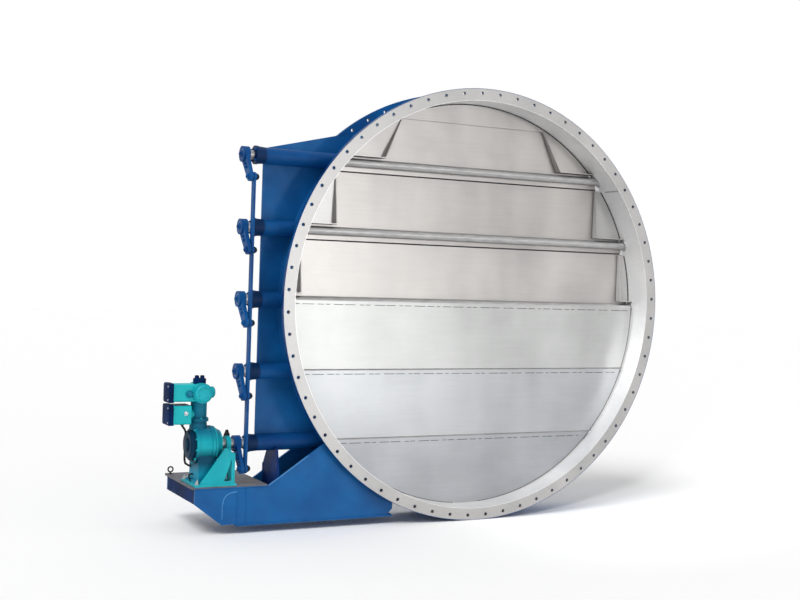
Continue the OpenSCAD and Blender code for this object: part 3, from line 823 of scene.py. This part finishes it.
def gland_details():
    """Nuts and shaft rings on the ends of the bearing tubes."""
    nuts = Mesh("gland_nuts")
    rings = Mesh("gland_rings")
    profile = [
        (0, SHAFT_R + 0.002),
        (0, SHAFT_R + 0.012),
        (-GLAND_RING_OUT, SHAFT_R + 0.010),
        (-GLAND_RING_OUT, SHAFT_R + 0.002),
    ]
    for i in SHAFTS:
        node = f"bearing_tube_{i}"
        face = low(node).x
        axis = SHAFT_AXIS[i]
        outer = (high(node).z - low(node).z) / 2
        for dy, dz in circle_points(4, outer - GLAND_NUT_IN, math.pi / 4):
            nuts.nut((face, axis.y + dy, axis.z + dz), -X_AXIS, *GLAND_NUT)
        rings.ring(profile, (face, axis.y, axis.z), X_AXIS)
    nuts.done(BODY, DEEP_BLUE_PAINT)
    rings.done(BODY, NAVY_PAINT)


def linkage_details():
    """Bolted shaft ends and pin nuts on the cranks, bushes in the rod's eyes."""
    for i in SHAFTS:
        body = f"blade_set_{i}"
        crank = f"crank_{i}"
        outer = low(crank).x
        axis = SHAFT_AXIS[i]
        pin = Vector((outer + CRANK_STEP, low(crank).y + EYE_R, low(crank).z + EYE_R))
        steel = Mesh(f"crank_{i}_bolts")
        if i != DRIVEN_SHAFT:
            steel.lathe(SHAFT_CAP, (outer, axis.y, axis.z), -X_AXIS, 32)
            steel.nut((outer - SHAFT_CAP_T, axis.y, axis.z), -X_AXIS, *SHAFT_NUT)
        steel.nut(pin, -X_AXIS, *PIN_NUT)
        for share in ARM_NUT_SHARES:
            place = Vector((outer + CRANK_STEP, axis.y, axis.z)).lerp(pin, share)
            steel.nut(place, -X_AXIS, *ARM_NUT)
        steel.done(body, DEEP_BLUE_PAINT)
        lock = Mesh(f"crank_{i}_pin_nut")
        lock.nut((high(crank).x, pin.y, pin.z), X_AXIS, *LOCK_NUT)
        lock.done(body, BLACK_RUBBER)
    bushes = Mesh("rod_bushes")
    for i in SHAFTS:
        centre = (low("tie_rod").x, middle("tie_rod").y, low(f"crank_{i}").z + EYE_R)
        bushes.ring(ROD_BUSH, centre, X_AXIS, 32)
    bushes.done(ROD_BODY, DEEP_BLUE_PAINT)


# Base

# Pale bead on the front plate, as (left of the end plate, below the top plate)
FRONT_BEAD = [(0, 0.026), (0.050, 0.034), (0.084, 0.062), (0.097, 0.110), (0.098, 0.200)]
FRONT_BEAD_R = 0.0035
SLOPE_DEG = 34
SLOPE_LENGTH = 0.33
SLOPE_START = 0.01
SLOPE_RISE = 0.004
FLOOR_WELD_SHORT = 0.04
PLATE_SEAM = 0.06
RIB_RISE = 0.110

# Lifting eyes
EYE_BACK_Y = 0.63
EYE_FRONT_Y = 0.233
EYE_INSET = 0.027
EYE_FOOT = [(-0.002, 0.012), (0.004, 0.012), (0.006, 0.006), (0.012, 0.005)]
EYE_WIRE_R = 0.005
EYE_RING_R = 0.017
EYE_RING_RISE = 0.030


def base_details():
    """Weld beads on the base, some of them pale."""
    front = low("base_front_plate").y
    under_top = low("base_top_plate").z
    bottom = high("base_floor").z
    left, right = low("base_front_plate").x, high("base_front_plate").x
    end = low("base_end_plate").x
    corner = high("base_top_plate").x

    seams = Mesh("front_plate_bead")
    path = smooth_path([Vector((end - out, front, under_top - drop)) for out, drop in FRONT_BEAD])
    seams.tube(path, FRONT_BEAD_R, WELD_SIDES, WELD_RIPPLE)
    slope = math.radians(SLOPE_DEG)
    along = Vector((math.cos(slope), 0, math.sin(slope)))
    start = Vector((corner + SLOPE_START, front, under_top + SLOPE_RISE))
    seams.weld(start, start + along * SLOPE_LENGTH, FINE_BEAD)
    seams.done(BODY, PALE_BLUE_PAINT)

    welds = Mesh("base_welds")
    welds.weld((left, front, under_top), (corner, front, under_top), FINE_BEAD)
    welds.weld((end, front, bottom), (right - FLOOR_WELD_SHORT, front, bottom), FINE_BEAD)
    for x in (end, end + PLATE_SEAM):
        welds.weld((x, front, bottom), (x, front, under_top), FINE_BEAD)
    rib = low("base_cross_rib")
    rib_back = Vector((rib.x, high("base_cross_rib").y, rib.z))
    welds.weld(rib, rib_back, COARSE_BEAD)
    welds.weld(rib, (rib.x, rib.y, under_top), COARSE_BEAD)
    welds.weld(rib_back, (rib.x, rib_back.y, under_top + RIB_RISE), COARSE_BEAD)
    welds.done(BODY, BLUE_PAINT)


def lifting_eyes():
    eyes = Mesh("lifting_eyes")
    wire = []
    for angle in turn_angles(12):
        wire.append((EYE_WIRE_R * math.cos(angle), EYE_RING_R + EYE_WIRE_R * math.sin(angle)))
    for node, y in (("base_top_plate", EYE_BACK_Y), ("actuator_bed", EYE_FRONT_Y)):
        foot = Vector((low(node).x + EYE_INSET, y, high(node).z))
        eyes.lathe(EYE_FOOT, foot, Z_AXIS, 20)
        eyes.ring(wire, foot + Z_AXIS * EYE_RING_RISE, Y_AXIS, 32)
    eyes.done(BODY, BLACK_RUBBER)


# Actuator

UPPER_BOX = "upper_terminal_box"
LOWER_BOX = "lower_terminal_box"
DRUM = "gearbox_drum"
FOOT = "gearbox_foot"
HEAD = "motor_head"
BED = "actuator_bed"
STAND = "bearing_stand"

# Terminal boxes
LID_T = 0.030
LID_OUT = 0.008
LID_OVER = 0.003
LID_CORNER = 0.0165
LID_EDGE = 0.006
LID_RIM = 0.005
SCREW = [(-0.001, 0.006), (0.004, 0.006), (0.005, 0.004)]
SCREW_IN = 0.018
# Grey plate on the lower box's top: painted shade and reflection
BOX_TOP_SHADE_X = 0.088
BOX_TOP_SHADE_LENGTH = 0.100
BOX_TOP_SHADE_IN = 0.036
BOX_TOP_SHADE_T = 0.004
BOX_TOP_SHADE_RISE = 0.001
BOX_TOP_SHADE_BEVEL = 0.001
PLUG_X = 0.105
PLUG_RISE = 0.012
PLUG_NUT = (0.022, 0.010, 0.004)

# Drum
DRUM_NUT = (0.013, 0.007, 0.003)
DRUM_NUT_IN = 0.010
NECK_LEDGE = 0.172
NECK_NUT = (0.010, 0.007, 0.003)
NECK_NUT_R = 0.0575
CAP_BOSS = [(-0.002, 0.045), (0.006, 0.045), (0.010, 0.038), (0.012, 0.02)]
BAND_W = 0.008
BAND_SINK = 0.004
BAND_RISE = 0.003
BAND_R = 0.0895
STEP_BAND_R = 0.1155
STEP_BAND_X = 0.040

# Motor head
TRIM_SINK = 0.001
TRIM_RISE = 0.003
COVER_SCREW = [(-0.001, 0.004), (0.003, 0.004), (0.004, 0.003)]
COVER_SCREW_IN = 0.022
HEAD_CAP = [(-0.032, 0.0405), (-0.004, 0.042), (0.004, 0.042), (0.008, 0.036)]
HEAD_STUD = [(0.0, 0.014), (0.016, 0.014), (0.020, 0.010)]
HEAD_STUD_X = 0.018
HEAD_STUD_RISE = 0.006
KNOB = [(-0.002, 0.024), (0.012, 0.024), (0.016, 0.017), (0.030, 0.016), (0.034, 0.012)]
KNOB_OFFSET = Vector((-0.085, 0.005, -0.005))
STUB_CAP = [(-0.002, 0.031), (0.006, 0.031), (0.010, 0.024)]

# Conduit from the lower box behind the drum to the foot
CONDUIT_R = 0.007
CONDUIT_X = -2.040
CONDUIT_BACK = 0.016
CONDUIT_GLAND = [(0, 0.013), (0.016, 0.013), (0.018, 0.010)]
CONDUIT_IN = 0.006
GLAND_X = 0.118
GLAND_Y = 0.025

# Bed and bearing stand
BED_NUT = (0.024, 0.016, 0.008)
BED_NUT_IN = 0.018
BED_NUT_RIGHT = 0.012
FOOT_NUT = (0.011, 0.009, 0.004)
FOOT_NUT_IN = 0.007
FOOT_FLANGE_T = 0.016
STAND_NUT = (0.020, 0.014, 0.008)
STAND_NUT_X = 0.014
STAND_NUT_Y = 0.025
STAND_STRIP_H = 0.016
GREASE_CUP = [(0, 0.020), (0.012, 0.019), (0.020, 0.013), (0.032, 0.011), (0.038, 0.005)]
GREASE_CUP_IN = 0.003


def box_covers():
    """Lids and screws of the terminal boxes, a grey plate on the lower one that paints shade and reflection
    on its top, and its plug.
    """
    covers = Mesh("box_covers")
    screws = Mesh("box_screws")
    for node in (UPPER_BOX, LOWER_BOX):
        centre = middle(node)
        size = high(node) - low(node)
        face = low(node).x - LID_OUT
        lid = (LID_T, size.y + LID_OVER, size.z + LID_OVER)
        covers.cover((face + LID_T / 2, centre.y, centre.z), lid, LID_CORNER, LID_EDGE)
        for side in SIDES:
            for rise in SIDES:
                y = centre.y + side * (size.y / 2 - SCREW_IN)
                z = centre.z + rise * (size.z / 2 - SCREW_IN)
                screws.lathe(SCREW, (face, y, z), -X_AXIS, 16)
    covers.done(BODY, NAVY_PAINT)
    # The grey plate on the lower box paints shade and reflection on its top.
    box_top_shade = Mesh("box_top_painted_shade")
    box_top_shade.box(
        (low(LOWER_BOX).x + BOX_TOP_SHADE_X, middle(LOWER_BOX).y, high(LOWER_BOX).z - LID_RIM + BOX_TOP_SHADE_RISE),
        (BOX_TOP_SHADE_LENGTH, high(LOWER_BOX).y - low(LOWER_BOX).y - BOX_TOP_SHADE_IN, BOX_TOP_SHADE_T),
        BOX_TOP_SHADE_BEVEL,
    )
    box_top_shade.done(BODY, GREY_PLATE)
    plug = (low(LOWER_BOX).x + PLUG_X, low(LOWER_BOX).y + LID_RIM, middle(LOWER_BOX).z + PLUG_RISE)
    screws.nut(plug, -Y_AXIS, *PLUG_NUT)
    screws.done(BODY, ZINC_STEEL)


def drum_details():
    """Bolts of the drum and the neck, the end cap's boss and the drum's bands."""
    axis = DRUM_AXIS
    rim = high(DRUM).z - axis.z
    bolts = Mesh("drum_bolts")
    for dy, dz in circle_points(10, rim - DRUM_NUT_IN, 0.2):
        bolts.nut((low(DRUM).x, axis.y + dy, axis.z + dz), -X_AXIS, *DRUM_NUT)
    neck = middle("gearbox_neck")
    for dx, dy in circle_points(6, NECK_NUT_R, math.pi / 6):
        bolts.nut((neck.x + dx, neck.y + dy, axis.z + NECK_LEDGE), Z_AXIS, *NECK_NUT)
    bolts.done(BODY, TEAL_PAINT)

    cap = Mesh("cap_boss")
    # The boss is in SHADE, painted shade like the end cap.
    cap.lathe(CAP_BOSS, (low("drum_end_cap").x, axis.y, axis.z), -X_AXIS, 32)
    cap.done(BODY, SHADE_PAINT)

    bands = Mesh("drum_bands")
    right = high(DRUM).x
    for x, radius in ((right, BAND_R), (right - STEP_BAND_X, STEP_BAND_R)):
        inner, outer = radius - BAND_SINK, radius + BAND_RISE
        profile = [(-BAND_W, inner), (-BAND_W, outer), (0.0, outer), (0.0, inner)]
        bands.ring(profile, (x, axis.y, axis.z), X_AXIS)
    bands.done(BODY, TEAL_PAINT)


def head_details():
    """Trim of the round cover, caps, knob and stub of the motor head."""
    cover = "round_cover"
    centre = middle(cover)
    front = low(cover).y
    radius = (high(cover).x - low(cover).x) / 2
    trim = Mesh("cover_trim")
    profile = [
        (TRIM_SINK, radius - 0.016),
        (TRIM_SINK, radius - 0.011),
        (-TRIM_RISE, radius - 0.012),
        (-TRIM_RISE, radius - 0.015),
    ]
    trim.ring(profile, (centre.x, front, centre.z), Y_AXIS)
    for dx, dz in circle_points(6, radius - COVER_SCREW_IN, 0.3):
        trim.lathe(COVER_SCREW, (centre.x + dx, front, centre.z + dz), -Y_AXIS, 12)
    trim.done(BODY, TEAL_PAINT)

    caps = Mesh("head_caps")
    top = Vector((centre.x, middle(HEAD).y, high(HEAD).z))
    caps.lathe(HEAD_CAP, top, Z_AXIS, 40)
    for side in SIDES:
        caps.lathe(HEAD_STUD, top + Vector((side * HEAD_STUD_X, 0, HEAD_STUD_RISE)), Z_AXIS, 20)
    caps.done(BODY, NAVY_PAINT)

    knob = Mesh("head_knob")
    # The knob takes the neck's darker teal: painted shade.
    knob.lathe(KNOB, Vector((centre.x, low(UPPER_BOX).y, centre.z)) + KNOB_OFFSET, -Y_AXIS, 28)
    knob.done(BODY, NECK_PAINT)

    stub = Mesh("stub_cap")
    stub.lathe(STUB_CAP, (high(HEAD).x, top.y, centre.z), X_AXIS, 32)
    stub.done(BODY, TEAL_PAINT)


def conduit_details():
    """Thin conduit with its gland under the lower box."""
    conduit = Mesh("conduit")
    box_low = low(LOWER_BOX)
    box_back = high(LOWER_BOX).y
    start = Vector((box_low.x + GLAND_X, box_back - GLAND_Y, box_low.z + LID_RIM + CONDUIT_IN))
    back = high("drum_end_cap").y + CONDUIT_BACK
    drum_z = DRUM_AXIS.z
    bends = [
        start,
        start - Z_AXIS * 0.025,
        Vector((CONDUIT_X, back, start.z - 0.075)),
        Vector((CONDUIT_X, back, drum_z)),
        Vector((CONDUIT_X, back, drum_z - 0.120)),
        Vector((CONDUIT_X + 0.012, back - 0.030, drum_z - 0.144)),
        Vector((low(FOOT).x + 0.020, back - 0.062, drum_z - 0.148)),
    ]
    conduit.tube(smooth_path(bends), CONDUIT_R, 12)
    conduit.lathe(CONDUIT_GLAND, start - Z_AXIS * CONDUIT_IN, -Z_AXIS, 6)
    conduit.done(BODY, BLACK_RUBBER)


def bed_details():
    """Nuts on the bed, the foot and the stand, the stand's welds and its grease cup."""
    top = high(BED).z
    bolts = Mesh("bed_bolts")
    for x in (low(BED).x + BED_NUT_IN, high(BED).x - BED_NUT_RIGHT):
        for y in (low(BED).y + BED_NUT_IN, high(BED).y - BED_NUT_IN):
            if x < low(STAND).x or y > high(STAND).y:
                bolts.nut((x, y, top), Z_AXIS, *BED_NUT)
    foot_half = (high(FOOT).y - low(FOOT).y) / 2
    for x in (low(FOOT).x + FOOT_NUT_IN, high(FOOT).x - FOOT_NUT_IN):
        for side in SIDES:
            y = middle(FOOT).y + side * (foot_half - FOOT_NUT_IN)
            bolts.nut((x, y, top + FOOT_FLANGE_T), Z_AXIS, *FOOT_NUT)
    right, front = high(STAND).x, low(STAND).y
    bolts.nut((right - STAND_NUT_X, front + STAND_NUT_Y, top + STAND_STRIP_H), Z_AXIS, *STAND_NUT)
    bolts.done(BODY, ZINC_STEEL)

    welds = Mesh("stand_welds")
    welds.weld((low(STAND).x, front, top), (right, front, top), FINE_BEAD)
    welds.weld((right, front, top), (right, high(STAND).y, top), FINE_BEAD)
    welds.done(BODY, TEAL_PAINT)

    cup = Mesh("grease_cup")
    boss_top = (right - STAND_NUT_X, DRUM_AXIS.y, high(STAND).z - GREASE_CUP_IN)
    cup.lathe(GREASE_CUP, boss_top, Z_AXIS, 24)
    cup.done(BODY, BLACK_RUBBER)


dress_nodes()
duct_details()
stop_details()
wall_details()
blade_seals()
blade_lines()
gland_details()
linkage_details()
base_details()
lifting_eyes()
box_covers()
drum_details()
head_details()
conduit_details()
bed_details()


# Stage, light and camera

FLOOR_REACH = 40.0
FLOOR_ROUGHNESS = 0.9
WHITE = (1.0, 1.0, 1.0, 1.0)
WORLD_LIGHT = 0.56
WORLD_SEEN = 1.0
LAMP_SIZE = 0.4

# Camera of the photograph
IMAGE_WIDTH = 800
FOCAL_PIXELS = 1236.1
SENSOR_MM = 36.0
CAMERA_PLACE = Vector((-4.5167, -7.4496, 0.1855))
CAMERA_YAW = math.radians(27.327)
CAMERA_PITCH = math.radians(-1.115)
CAMERA_ROLL = math.radians(1.935)
CAMERA_REACH = 200


def add_floor():
    data = bpy.data.meshes.new("floor")
    corners = [(FLOOR_REACH * x, FLOOR_REACH * y, FLOOR_Z) for x, y in ((-1, -1), (1, -1), (1, 1), (-1, 1))]
    data.from_pydata(corners, [], [(0, 1, 2, 3)])
    floor = bpy.data.objects.new("floor", data)
    bpy.context.scene.collection.objects.link(floor)
    shader = Shader("pale_floor")
    shader.set("Base Color", WHITE)
    shader.set("Roughness", FLOOR_ROUGHNESS)
    data.materials.append(shader.material)


def add_world():
    """Even light, seen as white by the camera and in metal and glass."""
    world = bpy.data.worlds.new("studio")
    bpy.context.scene.world = world
    world.use_nodes = True
    tree = world.node_tree
    background = tree.nodes["Background"]
    background.inputs["Color"].default_value = WHITE
    rays = tree.nodes.new("ShaderNodeLightPath")
    seen = rays.outputs["Is Camera Ray"]
    for kind in ("Is Glossy Ray", "Is Transmission Ray"):
        either = tree.nodes.new("ShaderNodeMath")
        either.operation = "MAXIMUM"
        tree.links.new(seen, either.inputs[0])
        tree.links.new(rays.outputs[kind], either.inputs[1])
        seen = either.outputs[0]
    strength = tree.nodes.new("ShaderNodeMapRange")
    tree.links.new(seen, strength.inputs["Value"])
    strength.inputs["To Min"].default_value = WORLD_LIGHT
    strength.inputs["To Max"].default_value = WORLD_SEEN
    tree.links.new(strength.outputs["Result"], background.inputs["Strength"])


def add_lamp(name, kind, towards, energy):
    """A lamp whose light comes from the direction towards."""
    lamp = bpy.data.lights.new(name, kind)
    lamp.energy = energy
    holder = bpy.data.objects.new(name, lamp)
    bpy.context.scene.collection.objects.link(holder)
    holder.rotation_euler = Vector(towards).to_track_quat("Z", "Y").to_euler()
    return holder


def add_sun(name, towards, strength, spread_deg):
    """A broad lamp far away, so that the floor is lit evenly."""
    holder = add_lamp(name, "SUN", towards, strength)
    holder.data.angle = math.radians(spread_deg)


def add_spot(name, place, target, watts, cone_deg):
    """A soft lamp aimed at one part of the object."""
    holder = add_lamp(name, "SPOT", Vector(place) - Vector(target), watts)
    holder.location = place
    holder.data.spot_size = math.radians(cone_deg)
    holder.data.spot_blend = 1.0
    holder.data.shadow_soft_size = LAMP_SIZE


def add_camera():
    data = bpy.data.cameras.new("camera")
    data.sensor_width = SENSOR_MM
    data.lens = FOCAL_PIXELS / IMAGE_WIDTH * SENSOR_MM
    data.clip_end = CAMERA_REACH
    camera = bpy.data.objects.new("camera", data)
    bpy.context.scene.collection.objects.link(camera)
    level = math.cos(CAMERA_PITCH)
    forward = Vector((math.sin(CAMERA_YAW) * level, math.cos(CAMERA_YAW) * level, math.sin(CAMERA_PITCH)))
    sideways = Vector((math.cos(CAMERA_YAW), -math.sin(CAMERA_YAW), 0))
    upward = sideways.cross(forward)
    right = math.cos(CAMERA_ROLL) * sideways + math.sin(CAMERA_ROLL) * upward
    top = math.cos(CAMERA_ROLL) * upward - math.sin(CAMERA_ROLL) * sideways
    rotation = Matrix((right, top, -forward)).transposed()
    camera.matrix_world = Matrix.Translation(CAMERA_PLACE) @ rotation.to_4x4()
    bpy.context.scene.camera = camera


add_floor()
add_world()
add_sun("key", (-0.50, -0.40, 0.80), 1.7, 25)
add_sun("front", (0.33, -0.94, 0.0), 0.36, 8)
add_spot("wall", (-3.2, -4.4, 1.6), (1.28, 0.05, -0.76), 950, 30)
add_spot("low_front", (1.5, -5.3, -1.16), (-1.05, 0.1, -0.55), 52, 34)
add_camera()
bpy.context.scene.view_settings.view_transform = "Standard"
